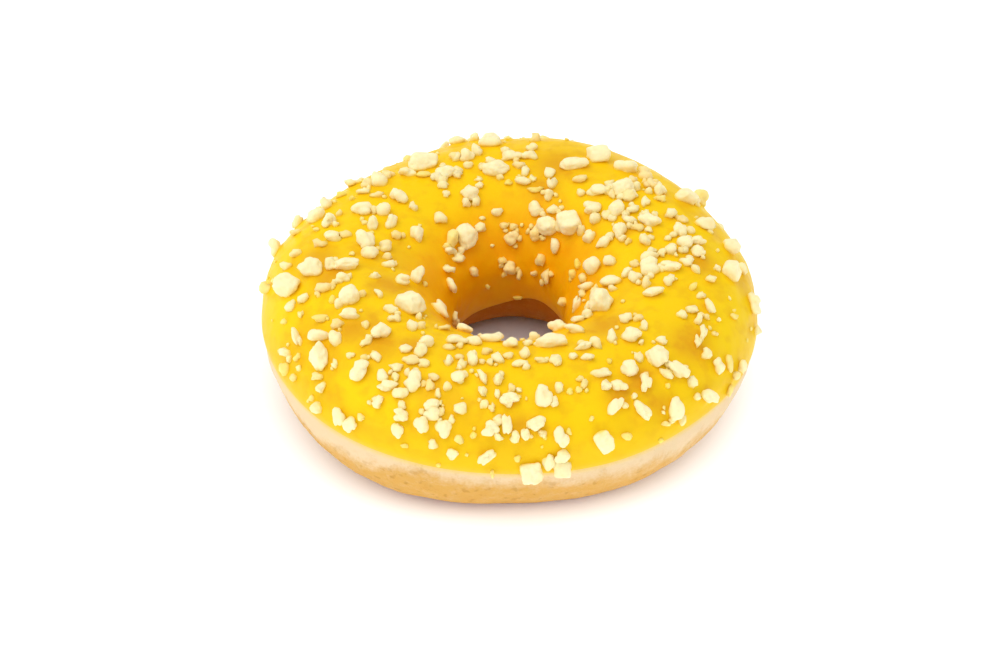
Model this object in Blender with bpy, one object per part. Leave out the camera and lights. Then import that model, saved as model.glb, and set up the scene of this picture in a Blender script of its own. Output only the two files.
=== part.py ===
"""Ring doughnut, coated with icing: a ring of dough and the icing shell over its top.

World frame in metres, +Z up. The ring stands on z = 0 and its hole runs along Z.
The turn angle runs round the ring: 0 at the front (-Y), growing towards +X.
The section angle runs round the ring's cross-section: 0 at the outer side, a quarter turn at the
top, half a turn in the hole and three quarters at the base.
"""
import bpy
import numpy as np

# Ring: the outer surface of the whole doughnut, metres. The lower round would reach below the
# floor by BASE_SINK, so it is flattened there.
RING_RADIUS = 0.0446
HOLE_RADIUS = 0.0114
CREST_SHARE = 0.515
GIRTH_HEIGHT = 0.0161
TOP_RISE = 0.0130
BASE_SINK = 0.0009

# Exponents of the section's rounded quarters, 2 being an ellipse
TOP_FULLNESS = 2.0
LOWER_FULLNESS = 2.04

# Unevenness of a ring that was shaped and dipped by hand: (waves round the ring, height in metres,
# turn angle of the first crest in degrees)
RADIUS_WAVES = ((1, 0.00067, -129.0), (2, 0.00040, -14.0), (3, 0.00055, -55.0),
                (4, 0.00024, -28.0), (5, 0.00037, 34.0), (6, 0.00019, 29.0))
TOP_WAVES = ((1, 0.00164, 164.0), (2, 0.00078, 127.0))
HOLE_WAVES = ((1, 0.00200, -12.0), (2, 0.00150, -5.0))

# Icing shell
ICING_THICKNESS = 0.0011
LIP_ROUND = 0.0003
LIP_NOSE = np.radians(1.6)
OUTER_LIP_HEIGHT = 0.0137
OUTER_LIP_WAVES = ((1, 0.00032, -97.0), (2, 0.00039, -64.0), (3, 0.00042, -53.0),
                   (4, 0.00041, -44.0), (5, 0.00028, -34.0), (7, 0.00015, -8.0),
                   (9, 0.00010, 9.0))
INNER_LIP_HEIGHT = 0.0088
INNER_LIP_WAVES = ((1, 0.0012, 145.0), (2, 0.0012, 145.0), (6, 0.0004, 160.0))

# Dough: its rebate under the icing, and where it comes out again below the lips
GAP = 0.0003
BARE_DEPTH = 0.0003
LIP_RAMP = np.radians(10)
BASE_HALF_ANGLE = np.radians(18)

# Mesh stations. Dough: the cover, a ramp and a flank on each side, the flat base.
# Icing: an outer and an inner face, with a nose at each lip.
TURN_STATIONS = 88
COVER_STRIPS = 14
FLANK_STRIPS = 3
BASE_STRIPS = 2
DOUGH_STATIONS = COVER_STRIPS + 2 * (1 + FLANK_STRIPS) + BASE_STRIPS
ICING_STATIONS = 2 * (COVER_STRIPS + 1) + 2

OUTER_SIDE = 0.0
HOLE_SIDE = np.pi
BASE_SIDE = 1.5 * np.pi
FULL_TURN = 2 * np.pi


def waves(terms, turn):
    """Sum of cosine waves round the ring, each with its first crest at its own turn angle."""
    return sum(height * np.cos(count * (turn - np.radians(crest))) for count, height, crest in terms)


def rounded(value, fullness):
    """Cosine or sine of a section angle, filled out from an ellipse to a squarer round."""
    return np.sign(value) * np.abs(value) ** (2 / fullness)


def plan_radii(turn):
    """Radii of the outline, the hole and the crest, which lies a set share of the way between."""
    outline = RING_RADIUS + waves(RADIUS_WAVES, turn)
    hole = HOLE_RADIUS + waves(HOLE_WAVES, turn)
    return outline, hole, hole + CREST_SHARE * (outline - hole)


def ring_point(turn, section, depth):
    """Points of the doughnut's section, sunk by a depth under its outer surface."""
    fullness = np.where(np.sin(section) < 0, LOWER_FULLNESS, TOP_FULLNESS)
    across = rounded(np.cos(section), fullness)
    upward = rounded(np.sin(section), fullness)
    outline, hole, crest = plan_radii(turn)
    half_width = np.where(across > 0, outline - crest, crest - hole) - depth
    top_rise = TOP_RISE + waves(TOP_WAVES, turn)
    half_height = np.where(upward > 0, top_rise, GIRTH_HEIGHT + BASE_SINK) - depth
    radius = crest + half_width * across
    height = np.maximum(GIRTH_HEIGHT + half_height * upward, 0.0)
    return np.column_stack((radius * np.sin(turn), -radius * np.cos(turn), height))


def lower_angle(height):
    """Angle below the girth at which the lower surface has a given height."""
    drop = (GIRTH_HEIGHT - height) / (GIRTH_HEIGHT + BASE_SINK)
    return np.arcsin(drop ** (LOWER_FULLNESS / 2))


def lip_angles(turn):
    """Section angles of the icing's outer lip and of its lip in the hole."""
    outer_height = OUTER_LIP_HEIGHT + waves(OUTER_LIP_WAVES, turn)
    inner_height = INNER_LIP_HEIGHT + waves(INNER_LIP_WAVES, turn)
    return OUTER_SIDE - lower_angle(outer_height), HOLE_SIDE + lower_angle(inner_height)


def dough_section(station, turn):
    """Section angle and depth of each dough station: covered, then round the base."""
    outer_lip, inner_lip = lip_angles(turn)
    covered = station <= COVER_STRIPS
    share = np.clip(station / COVER_STRIPS, 0, 1)
    cover_angle = outer_lip + share * (inner_lip - outer_lip)

    first_bare = COVER_STRIPS + 1
    base_start = first_bare + FLANK_STRIPS
    base_end = base_start + BASE_STRIPS
    last_bare = base_end + FLANK_STRIPS
    down = np.clip((station - first_bare) / FLANK_STRIPS, 0, 1)
    up = np.clip((station - base_end) / FLANK_STRIPS, 0, 1)
    inner_flank = inner_lip + LIP_RAMP
    outer_flank = outer_lip + FULL_TURN - LIP_RAMP
    base_inner = BASE_SIDE - BASE_HALF_ANGLE
    base_outer = BASE_SIDE + BASE_HALF_ANGLE
    across_base = np.clip((station - base_start) / BASE_STRIPS, 0, 1)
    bare_angle = (inner_flank + down * (base_inner - inner_flank)
                  + across_base * (base_outer - base_inner)
                  + up * (outer_flank - base_outer))

    beside_lip = (station == first_bare) | (station == last_bare)
    depth = np.where(covered, ICING_THICKNESS + GAP, np.where(beside_lip, BARE_DEPTH, 0.0))
    return np.where(covered, cover_angle, bare_angle), depth


def icing_section(station, turn):
    """Section angle and depth of each icing station: nose, outer face, nose, inner face."""
    outer_lip, inner_lip = lip_angles(turn)
    first_face = 1
    inner_nose = first_face + COVER_STRIPS + 1
    back_face = inner_nose + 1
    over = np.clip((station - first_face) / COVER_STRIPS, 0, 1)
    back = np.clip((station - back_face) / COVER_STRIPS, 0, 1)
    angle = outer_lip + (over - back) * (inner_lip - outer_lip)
    angle = angle - LIP_NOSE * (station == 0) + LIP_NOSE * (station == inner_nose)

    on_nose = (station == 0) | (station == inner_nose)
    beside_nose = (station == first_face) | (station == inner_nose - 1)
    depth = np.where(station >= back_face, ICING_THICKNESS, 0.0)
    depth = np.where(beside_nose, LIP_ROUND, depth)
    depth = np.where(on_nose, ICING_THICKNESS / 2, depth)
    return angle, depth


def centre_offset():
    """Centre of the icing's box in plan, which becomes the origin."""
    stations = np.arange(ICING_STATIONS)
    turns = np.linspace(0, FULL_TURN, TURN_STATIONS, endpoint=False)
    station, turn = (grid.ravel() for grid in np.meshgrid(stations, turns))
    points = ring_point(turn, *icing_section(station, turn))
    centre = (points.max(axis=0) + points.min(axis=0)) / 2
    return np.array((centre[0], centre[1], 0.0))


def shaped_ring(name, stations, section_of, centre, material, collection):
    """Torus primitive whose rings of vertices are moved onto a section."""
    torus_radius = (RING_RADIUS + HOLE_RADIUS) / 2
    bpy.ops.mesh.primitive_torus_add(major_segments=TURN_STATIONS, minor_segments=stations,
                                     major_radius=torus_radius,
                                     minor_radius=RING_RADIUS - torus_radius)
    ring = bpy.context.object
    ring.name = name
    ring.data.name = name
    flat = np.empty(3 * len(ring.data.vertices))
    ring.data.vertices.foreach_get("co", flat)
    x, y, z = flat.reshape(-1, 3).T
    turn = np.arctan2(x, -y)
    torus_angle = np.arctan2(z, np.hypot(x, y) - torus_radius) % FULL_TURN
    station = np.rint(torus_angle / FULL_TURN * stations) % stations
    section, depth = section_of(station, turn)
    points = ring_point(turn, section, depth) - centre
    ring.data.vertices.foreach_set("co", points.ravel())
    ring.data.update()
    ring.data.shade_smooth()
    ring.data.materials.append(material)
    for owner in list(ring.users_collection):
        owner.objects.unlink(ring)
    collection.objects.link(ring)
    return ring


def plain_material(name, colour, roughness):
    """Principled material of one colour, without metal."""
    material = bpy.data.materials.new(name)
    material.use_nodes = True
    shader = material.node_tree.nodes["Principled BSDF"]
    shader.inputs["Base Color"].default_value = (*colour, 1.0)
    shader.inputs["Roughness"].default_value = roughness
    shader.inputs["Metallic"].default_value = 0.0
    return material


def build_doughnut():
    """Dough ring and icing shell in a collection of their own."""
    doughnut = bpy.data.collections.new("iced_ring_doughnut")
    bpy.context.scene.collection.children.link(doughnut)
    dough = plain_material("fried_dough", (0.87, 0.56, 0.22), 0.7)
    icing = plain_material("yellow_icing", (0.99, 0.63, 0.02), 0.4)
    centre = centre_offset()
    shaped_ring("dough_ring", DOUGH_STATIONS, dough_section, centre, dough, doughnut)
    shaped_ring("icing_shell", ICING_STATIONS, icing_section, centre, icing, doughnut)


for old in list(bpy.data.objects):
    bpy.data.objects.remove(old, do_unlink=True)
build_doughnut()
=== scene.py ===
"""Looks of an iced ring doughnut: fried dough, yellow icing over its top, cream crumbs on the icing.

Everything is in metres with +Z up. The turn angle runs round the ring, from the front (-Y) towards
+X. The section angle runs round the ring's cross-section: 0 at the outer side, a quarter turn at the
top, half a turn in the hole and three quarters at the base.
"""

import itertools
import logging
import math
from dataclasses import dataclass, field
from enum import Enum
from typing import Any, NamedTuple, Sequence

import bmesh
import bpy
import numpy as np
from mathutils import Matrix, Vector


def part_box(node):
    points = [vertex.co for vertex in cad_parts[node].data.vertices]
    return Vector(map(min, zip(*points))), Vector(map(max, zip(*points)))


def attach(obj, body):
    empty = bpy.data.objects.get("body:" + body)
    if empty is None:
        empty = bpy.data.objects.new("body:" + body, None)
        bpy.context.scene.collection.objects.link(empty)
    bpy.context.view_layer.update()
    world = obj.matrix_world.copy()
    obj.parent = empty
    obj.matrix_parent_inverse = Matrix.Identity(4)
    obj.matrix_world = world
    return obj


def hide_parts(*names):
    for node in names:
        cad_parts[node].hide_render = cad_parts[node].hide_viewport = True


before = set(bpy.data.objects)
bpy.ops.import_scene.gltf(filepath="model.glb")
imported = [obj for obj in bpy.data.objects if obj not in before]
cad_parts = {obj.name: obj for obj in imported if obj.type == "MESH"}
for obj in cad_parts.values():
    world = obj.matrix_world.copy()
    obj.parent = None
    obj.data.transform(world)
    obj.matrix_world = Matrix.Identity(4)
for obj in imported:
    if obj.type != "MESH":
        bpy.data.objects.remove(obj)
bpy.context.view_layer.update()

Array = np.ndarray
Colour = tuple[float, float, float]
MM = 0.001
FULL_TURN = 2 * math.pi
BODY = "root"
SHORTEST = 1e-12
log = logging.getLogger("iced_ring_doughnut")


# --------------------------------------------------------------------------- numbers and meshes

def smooth(value: Array, low: float, high: float) -> Array:
    """Smooth step: 0 below low, 1 above high, and 3t^2 - 2t^3 between."""
    share = np.clip((value - low) / (high - low), 0.0, 1.0)
    return share * share * (3 - 2 * share)


def unit(vectors: Array) -> Array:
    """Vectors divided by their length."""
    return vectors / np.maximum(np.linalg.norm(vectors, axis=-1, keepdims=True), SHORTEST)


@dataclass(frozen=True)
class SmoothField:
    """Seeded noise in space, from -1 to 1: random values at the corners of a cubic lattice.

    Between the corners the value is their blend, weighted along each axis by 3t^2 - 2t^3.
    """

    seed: int
    cell: float
    corners: int = 48

    def at(self, points: Array) -> Array:
        """Noise at points.

        Args:
            points: Places in metres, one row each.

        Returns:
            One value for each place.
        """
        lattice = np.random.default_rng(self.seed).uniform(-1, 1, (self.corners,) * 3)
        place = points / self.cell + self.corners / 2
        base = np.floor(place).astype(int)
        share = place - base
        share = share * share * (3 - 2 * share)
        total = np.zeros(len(points))
        for corner in itertools.product((0, 1), repeat=3):
            weight = np.prod(np.where(corner, share, 1 - share), axis=1)
            x, y, z = ((base + corner) % self.corners).T
            total += weight * lattice[x, y, z]
        return total


def make_piece(name: str, points: Array, faces: Array, marks: dict[str, Array],
               unwrapped: Array | None = None) -> bpy.types.Object:
    """Mesh object at the origin, smooth shaded.

    Args:
        name: The piece's name.
        points: Vertices, one row each.
        faces: Vertex numbers, one row for each face, all with the same number of corners.
        marks: Values on the vertices, by attribute name.
        unwrapped: Map coordinates of the face corners, or None for a piece without a map.

    Returns:
        The new object, linked to the scene.
    """
    mesh = bpy.data.meshes.new(name)
    mesh.vertices.add(len(points))
    mesh.vertices.foreach_set("co", points.astype(np.float32).ravel())
    mesh.loops.add(faces.size)
    mesh.loops.foreach_set("vertex_index", faces.astype(np.int32).ravel())
    mesh.polygons.add(len(faces))
    starts = np.arange(0, faces.size, faces.shape[1], dtype=np.int32)
    mesh.polygons.foreach_set("loop_start", starts)
    mesh.update(calc_edges=True)
    for label, values in marks.items():
        mark = mesh.attributes.new(label, "FLOAT", "POINT")
        mark.data.foreach_set("value", values.astype(np.float32).ravel())
    if unwrapped is not None:
        layer = mesh.uv_layers.new(name="OFBake")
        layer.data.foreach_set("uv", unwrapped.astype(np.float32).ravel())
    mesh.validate()
    mesh.shade_smooth()
    piece = bpy.data.objects.new(name, mesh)
    bpy.context.scene.collection.objects.link(piece)
    return piece


# --------------------------------------------------------------------------- the ring's form

@dataclass(frozen=True)
class Wave:
    """One cosine wave round the ring: how many, how high, and the first crest's turn in degrees."""

    count: int
    height: float
    crest: float

    def at(self, turn: Array) -> Array:
        """Height x cos(count x (turn - crest))."""
        return self.height * np.cos(self.count * (turn - math.radians(self.crest)))


def waves(terms: Sequence[Wave], turn: Array) -> Array:
    """Sum of waves at turn angles."""
    return sum(term.at(turn) for term in terms)


@dataclass
class RingForm:
    """The doughnut's outer form: a ring with rounded quarters in its section and a flat base."""

    ring_radius: float = 0.0446
    hole_radius: float = 0.0114
    crest_share: float = 0.515
    girth_height: float = 0.0161
    top_rise: float = 0.0130
    base_sink: float = 0.0009
    top_fullness: float = 2.0
    lower_fullness: float = 2.04
    radius_waves: tuple[Wave, ...] = (Wave(1, 0.00067, -129), Wave(2, 0.00040, -14),
                                      Wave(3, 0.00055, -55), Wave(4, 0.00024, -28),
                                      Wave(5, 0.00037, 34), Wave(6, 0.00019, 29))
    top_waves: tuple[Wave, ...] = (Wave(1, 0.00164, 164), Wave(2, 0.00078, 127))
    hole_waves: tuple[Wave, ...] = (Wave(1, 0.00200, -12), Wave(2, 0.00150, -5))
    outer_lip_height: float = 0.0137
    outer_lip_waves: tuple[Wave, ...] = (Wave(1, 0.00032, -97), Wave(2, 0.00039, -64),
                                         Wave(3, 0.00042, -53), Wave(4, 0.00041, -44),
                                         Wave(5, 0.00028, -34), Wave(7, 0.00015, -8),
                                         Wave(9, 0.00010, 9))
    inner_lip_height: float = 0.0088
    inner_lip_waves: tuple[Wave, ...] = (Wave(1, 0.0012, 145), Wave(2, 0.0012, 145),
                                         Wave(6, 0.0004, 160))
    section_radius: float = 0.0148
    slope_step: float = 1e-4
    settle_turns: int = 360
    settle_stations: int = 120
    shift: Array = field(default_factory=lambda: np.zeros(3))

    def settle(self, low: Vector, high: Vector) -> None:
        """Shifts the form in plan, so that its icing's box is centred on a CAD node's box.

        Args:
            low: The node's lowest corner.
            high: The node's highest corner.
        """
        turn = np.linspace(0, FULL_TURN, self.settle_turns, endpoint=False)
        turn = np.repeat(turn, self.settle_stations)
        outer, inner = self.lips(turn)
        share = np.tile(np.linspace(0, 1, self.settle_stations), self.settle_turns)
        points = self.point(turn, outer + share * (inner - outer))
        centre = (points.max(axis=0) + points.min(axis=0)) / 2
        self.shift = np.array([*((low + high) / 2)])[:2] - centre[:2]
        self.shift = np.append(self.shift, 0.0)

    def point(self, turn: Array, section: Array) -> Array:
        """Points of the form: crest + half-width x cosine across, girth + half-height x sine up.

        The cosine and sine of the section angle are raised to 2 / fullness, which fills a quarter
        out from an ellipse to a squarer round. Heights below the floor are cut off at it.

        Args:
            turn: Turn angles.
            section: Section angles.

        Returns:
            One row of coordinates for each pair of angles.
        """
        fullness = np.where(np.sin(section) < 0, self.lower_fullness, self.top_fullness)
        across, upward = (np.sign(value) * np.abs(value) ** (2 / fullness)
                          for value in (np.cos(section), np.sin(section)))
        outline = self.ring_radius + waves(self.radius_waves, turn)
        hole = self.hole_radius + waves(self.hole_waves, turn)
        crest = hole + self.crest_share * (outline - hole)
        half_width = np.where(across > 0, outline - crest, crest - hole)
        top = self.top_rise + waves(self.top_waves, turn)
        half_height = np.where(upward > 0, top, self.girth_height + self.base_sink)
        radius = crest + half_width * across
        height = np.maximum(self.girth_height + half_height * upward, 0.0)
        return np.column_stack((radius * np.sin(turn), -radius * np.cos(turn), height)) + self.shift

    def normal(self, turn: Array, section: Array) -> Array:
        """Outward directions, from the cross product of small steps along the two angles.

        Args:
            turn: Turn angles.
            section: Section angles.

        Returns:
            One unit vector for each pair of angles.
        """
        step = self.slope_step
        along = self.point(turn + step, section) - self.point(turn - step, section)
        around = self.point(turn, section + step) - self.point(turn, section - step)
        return unit(np.cross(along, around))

    def skin(self, turn: Array, section: Array, depth: Array) -> Array:
        """Points at a depth under the form along its normal, kept above the floor.

        Args:
            turn: Turn angles.
            section: Section angles.
            depth: Depths in metres.

        Returns:
            One row of coordinates for each point.
        """
        points = self.point(turn, section) - depth[:, None] * self.normal(turn, section)
        points[:, 2] = np.maximum(points[:, 2], 0.0)
        return points

    def lips(self, turn: Array) -> tuple[Array, Array]:
        """Section angles of the icing's outer lip and of its lip in the hole.

        Args:
            turn: Turn angles.

        Returns:
            The outer lip's angles and the inner lip's, where the form has the lips' heights.
        """
        outer = self.outer_lip_height + waves(self.outer_lip_waves, turn)
        inner = self.inner_lip_height + waves(self.inner_lip_waves, turn)
        return -self.lower_angle(outer), math.pi + self.lower_angle(inner)

    def lower_angle(self, height: Array) -> Array:
        """Angle below the girth at which the lower quarter has a given height."""
        drop = (self.girth_height - height) / (self.girth_height + self.base_sink)
        return np.arcsin(drop ** (self.lower_fullness / 2))


@dataclass(frozen=True)
class RingGrid:
    """A closed skin round the ring: stations round the section at each of many turns."""

    turns: int
    stations: int

    def spread(self) -> tuple[Array, Array]:
        """Turn angle and station number of each vertex."""
        turn = np.linspace(0, FULL_TURN, self.turns, endpoint=False)
        return np.repeat(turn, self.stations), np.tile(np.arange(self.stations), self.turns)

    def faces(self) -> Array:
        """Quads between neighbouring stations and turns, joined to themselves both ways.

        Returns:
            Four vertex numbers for each quad.
        """
        turn, station = np.divmod(np.arange(self.turns * self.stations), self.stations)
        next_turn = (turn + 1) % self.turns
        next_station = (station + 1) % self.stations
        return np.column_stack([a * self.stations + b for a, b in (
            (turn, station), (next_turn, station), (next_turn, next_station), (turn, next_station))])

    def unwrapped(self) -> Array:
        """Map coordinates of the quads' corners: turn share across, station share up.

        Returns:
            One row for each corner, in the order of the quads.
        """
        turn, station = np.divmod(np.arange(self.turns * self.stations), self.stations)
        corners = [(turn + a, station + b) for a, b in ((0, 0), (1, 0), (1, 1), (0, 1))]
        flat = [(a / self.turns, b / self.stations) for a, b in corners]
        return np.stack([np.column_stack(pair) for pair in flat], axis=1).reshape(-1, 2)


# --------------------------------------------------------------------------- shader maths

@dataclass(frozen=True)
class Link:
    """An output socket whose arithmetic adds Math nodes to its graph."""

    graph: "Graph"
    socket: bpy.types.NodeSocket

    def __add__(self, other: Any) -> "Link":
        """Sum."""
        return self.graph.math("ADD", self, other)

    def __sub__(self, other: Any) -> "Link":
        """Difference."""
        return self.graph.math("SUBTRACT", self, other)

    def __rsub__(self, other: Any) -> "Link":
        """Difference from a number."""
        return self.graph.math("SUBTRACT", other, self)

    def __mul__(self, other: Any) -> "Link":
        """Product."""
        return self.graph.math("MULTIPLY", self, other)

    __radd__ = __add__
    __rmul__ = __mul__


class Graph:
    """A material and its nodes."""

    def __init__(self, name: str) -> None:
        """Makes an empty material.

        Args:
            name: The material's name.
        """
        self.material = bpy.data.materials.new(name)
        self.material.use_nodes = True
        self.tree = self.material.node_tree
        self.tree.nodes.clear()

    def add(self, kind: str, settings: dict[str, Any] | None = None,
            inputs: dict[str | int, Any] | None = None, output: str | int = 0) -> Link:
        """Adds a node.

        Args:
            kind: The node's type.
            settings: Properties of the node, set first.
            inputs: Values or links of its sockets, by name or number.
            output: The output that is returned.

        Returns:
            That output.
        """
        node = self.tree.nodes.new(kind)
        for label, value in (settings or {}).items():
            setattr(node, label, value)
        for label, value in (inputs or {}).items():
            if isinstance(value, Link):
                self.tree.links.new(value.socket, node.inputs[label])
            else:
                node.inputs[label].default_value = value
        return Link(self, node.outputs[output])

    def math(self, operation: str, first: Any, second: Any) -> Link:
        """Math node on two values."""
        return self.add("ShaderNodeMath", {"operation": operation}, {0: first, 1: second})

    def mark(self, label: str) -> Link:
        """A value that the mesh holds at its vertices."""
        return self.add("ShaderNodeAttribute", {"attribute_name": label}, output="Fac")

    def place(self) -> Link:
        """Object coordinates."""
        return self.add("ShaderNodeTexCoord", output="Object")

    def noise(self, place: Link, cell: float, detail: float = 2.0) -> Link:
        """Noise between 0 and 1 whose features measure about one cell."""
        return self.add("ShaderNodeTexNoise", {"noise_dimensions": "3D"},
                        {"Vector": place, "Scale": 1 / cell, "Detail": detail}, "Fac")

    def step(self, value: Link, low: float, high: float) -> Link:
        """Smooth step from 0 at low to 1 at high."""
        return self.add("ShaderNodeMapRange", {"interpolation_type": "SMOOTHSTEP"},
                        {"Value": value, "From Min": low, "From Max": high})

    def blend(self, share: Link | float, first: Link | Colour, second: Link | Colour) -> Link:
        """Colour between two colours."""
        first, second = (c if isinstance(c, Link) else (*c, 1.0) for c in (first, second))
        return self.add("ShaderNodeMix", {"data_type": "RGBA"},
                        {0: share, 6: first, 7: second}, 2)

    def bump(self, height: Link, distance: float) -> Link:
        """Normal tilted by a height field, which reaches a distance at value 1."""
        return self.add("ShaderNodeBump", None, {"Height": height, "Distance": distance})

    def finish(self, sockets: dict[str, Any]) -> bpy.types.Material:
        """Ends the graph in a Principled shader.

        Args:
            sockets: Values or links of the shader's sockets, by name.

        Returns:
            The material.
        """
        shader = self.add("ShaderNodeBsdfPrincipled", None, sockets)
        out = self.tree.nodes.new("ShaderNodeOutputMaterial")
        self.tree.links.new(shader.socket, out.inputs["Surface"])
        return self.material


@dataclass(frozen=True)
class DoughFinish:
    """Fried dough: a pale band that stood clear of the oil, golden and mottled below it."""

    pale: Colour = (0.80, 0.60, 0.36)
    golden: Colour = (0.67, 0.37, 0.085)
    spot: Colour = (0.48, 0.24, 0.045)
    brown: Colour = (0.49, 0.14, 0.002)
    stain: Colour = (0.84, 0.57, 0.10)
    mottle_cell: float = 2.2 * MM
    spot_cell: float = 1.5 * MM
    grain_cell: float = 0.45 * MM
    golden_limits: tuple[float, float] = (0.08, 0.72)
    brown_limits: tuple[float, float] = (0.72, 1.15)
    spot_limits: tuple[float, float] = (0.56, 0.70)
    pore_depth: float = 0.10 * MM
    roughness: float = 0.62
    specular: float = 0.06
    glow: float = 0.12
    glow_reach: Colour = (1.0, 0.5, 0.25)
    glow_scale: float = 1.2 * MM

    def material(self) -> bpy.types.Material:
        """Colour by how far the crust is fried, with fine mottling, darker spots and pores.

        Returns:
            The material.
        """
        graph = Graph("fried_dough")
        place = graph.place()
        mottle = graph.noise(place, self.mottle_cell, 3.0)
        grain = graph.noise(place, self.grain_cell, 2.0)
        fried = graph.mark("fried") + 0.50 * (mottle - 0.5) + 0.30 * (grain - 0.5)
        colour = graph.blend(graph.step(fried, *self.golden_limits), self.pale, self.golden)
        spot = graph.step(graph.noise(place, self.spot_cell, 2.0), *self.spot_limits)
        colour = graph.blend(0.8 * spot * graph.mark("fried"), colour, self.spot)
        colour = graph.blend(graph.step(fried, *self.brown_limits), colour, self.brown)
        colour = graph.blend(graph.mark("stain"), colour, self.stain)
        return graph.finish({
            "Base Color": colour, "Roughness": self.roughness,
            "Specular IOR Level": self.specular, "Subsurface Weight": self.glow,
            "Subsurface Radius": self.glow_reach, "Subsurface Scale": self.glow_scale,
            "Normal": graph.bump(grain + 0.6 * mottle, self.pore_depth)})


@dataclass(frozen=True)
class IcingFinish:
    """Yellow icing: lemon to deep where thick, the lemon painted light; dull where thin and as painted
    shade round crumbs; amber painted shade in the hole.
    """

    # Lemon is painted light, laid towards both sides and the front over random cloud.
    lit_lemon: Colour = (0.92, 0.635, 0.008)
    deep: Colour = (0.93, 0.57, 0.003)
    # Dull: thin icing, and painted shade round the crumbs' feet.
    dull: Colour = (0.75, 0.375, 0.010)
    # Amber: painted shade in the hole.
    amber: Colour = (0.89, 0.385, 0.001)
    # Low: painted shade down the outer flank.
    low: Colour = (0.80, 0.485, 0.012)
    edge: Colour = (0.80, 0.54, 0.07)
    cloud_cell: float = 7 * MM
    patch_cell: float = 3.2 * MM
    patch_limits: tuple[float, float] = (0.46, 0.72)
    patch_share: float = 0.38
    ripple_cell: float = 1.6 * MM
    ripple_depth: float = 0.07 * MM
    roughness: float = 0.42
    roughness_change: float = 0.14
    specular: float = 0.06
    glow: float = 0.10
    glow_reach: Colour = (1.0, 0.5, 0.08)
    glow_scale: float = 0.8 * MM

    def material(self) -> bpy.types.Material:
        """Colour by tint with painted light, by thinness with painted shade round crumbs, by the hole's
        painted shade, and by nearness of a lip with painted shade down the outer flank; with a low
        sheen.

        Returns:
            The material.
        """
        graph = Graph("yellow_icing")
        place = graph.place()
        cloud = graph.noise(place, self.cloud_cell, 2.0)
        patch = graph.noise(place, self.patch_cell, 3.0)
        ripple = graph.noise(place, self.ripple_cell, 2.0)
        # The lemon share is painted light towards both sides and the front; cloud adds random tone.
        colour = graph.blend(graph.mark("lit_lemon") + 0.6 * (cloud - 0.5), self.deep, self.lit_lemon)
        patches = self.patch_share * graph.step(patch, *self.patch_limits)
        # Dull where the icing is thin, and as painted shade round the crumbs' feet; patches add random
        # tone.
        colour = graph.blend(graph.mark("thin_and_foot_shade") * (0.6 + 0.8 * cloud) + patches, colour, self.dull)
        # Amber is painted shade in the hole.
        colour = graph.blend(graph.mark("shade") * (0.5 + 0.9 * patch), colour, self.amber)
        # The low tint is painted shade down the outer flank.
        colour = graph.blend(graph.mark("low"), colour, self.low)
        colour = graph.blend(graph.mark("edge"), colour, self.edge)
        return graph.finish({
            "Base Color": colour,
            "Roughness": self.roughness + self.roughness_change * (ripple - 0.5),
            "Specular IOR Level": self.specular, "Subsurface Weight": self.glow,
            "Subsurface Radius": self.glow_reach, "Subsurface Scale": self.glow_scale,
            "Normal": graph.bump(ripple, self.ripple_depth)})


@dataclass(frozen=True)
class CrumbFinish:
    """Cream crumbs: ivory, some tan that is partly painted shade, and yellow where icing coats them."""

    cream: Colour = (0.99, 0.865, 0.50)
    # Tan: partly the crumbs' own tone, partly painted shade on crumbs that sit in shade.
    tan: Colour = (0.95, 0.71, 0.31)
    icing: Colour = (0.95, 0.70, 0.05)
    grain_cell: float = 0.5 * MM
    grain_depth: float = 0.10 * MM
    patch_cell: float = 1.4 * MM
    patch_limits: tuple[float, float] = (0.5, 0.8)
    patch_share: float = 0.5
    roughness: float = 0.6
    specular: float = 0.3
    glow: float = 0.2
    glow_reach: Colour = (1.0, 0.75, 0.4)
    glow_scale: float = 0.7 * MM

    def material(self) -> bpy.types.Material:
        """Colour by each crumb's tone, whose tan is partly painted shade, and by how deep it sits in
        the icing.

        Returns:
            The material.
        """
        graph = Graph("cream_crumb")
        place = graph.place()
        grain = graph.noise(place, self.grain_cell, 3.0)
        patch = graph.noise(place, self.patch_cell, 1.0)
        # The tan share is partly painted shade on marked crumbs round the hole; patches add random
        # tone.
        tan = graph.mark("tan") + self.patch_share * graph.step(patch, *self.patch_limits)
        colour = graph.blend(tan, self.cream, self.tan)
        colour = graph.blend(graph.mark("coat") * (0.7 + 0.6 * patch), colour, self.icing)
        return graph.finish({
            "Base Color": colour, "Roughness": self.roughness,
            "Specular IOR Level": self.specular, "Subsurface Weight": self.glow,
            "Subsurface Radius": self.glow_reach, "Subsurface Scale": self.glow_scale,
            "Normal": graph.bump(grain, self.grain_depth)})


# --------------------------------------------------------------------------- camera and light

@dataclass(frozen=True)
class Viewpoint:
    """The camera: it looks along +Y and down, and its frame is measured in pixels."""

    aim: tuple[float, float, float] = (-0.00204, 0.0, 0.01166)
    elevation: float = 35.8
    distance: float = 1.0
    lens: float = 201.0
    sensor: float = 36.0
    frame_width: int = 1000
    frame_height: int = 667

    def axes(self) -> tuple[Array, Array, Array]:
        """Directions to the right, up and towards the camera."""
        rise = math.radians(self.elevation)
        return (np.array((1.0, 0.0, 0.0)), np.array((0.0, math.sin(rise), math.cos(rise))),
                np.array((0.0, -math.cos(rise), math.sin(rise))))

    def project(self, points: Array, shift: Array) -> tuple[Array, Array]:
        """Places in the frame and distances from the camera.

        Args:
            points: Places in metres.
            shift: The form's shift in plan, which the camera follows.

        Returns:
            Columns and rows in pixels, one pair for each point, and the distances.
        """
        right, up, back = self.axes()
        seen = points - shift - np.array(self.aim)
        away = self.distance - seen @ back
        focal = self.lens / self.sensor * self.frame_width
        column = self.frame_width / 2 + focal * (seen @ right) / away
        row = self.frame_height / 2 - focal * (seen @ up) / away
        return np.column_stack((column, row)), away


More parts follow.
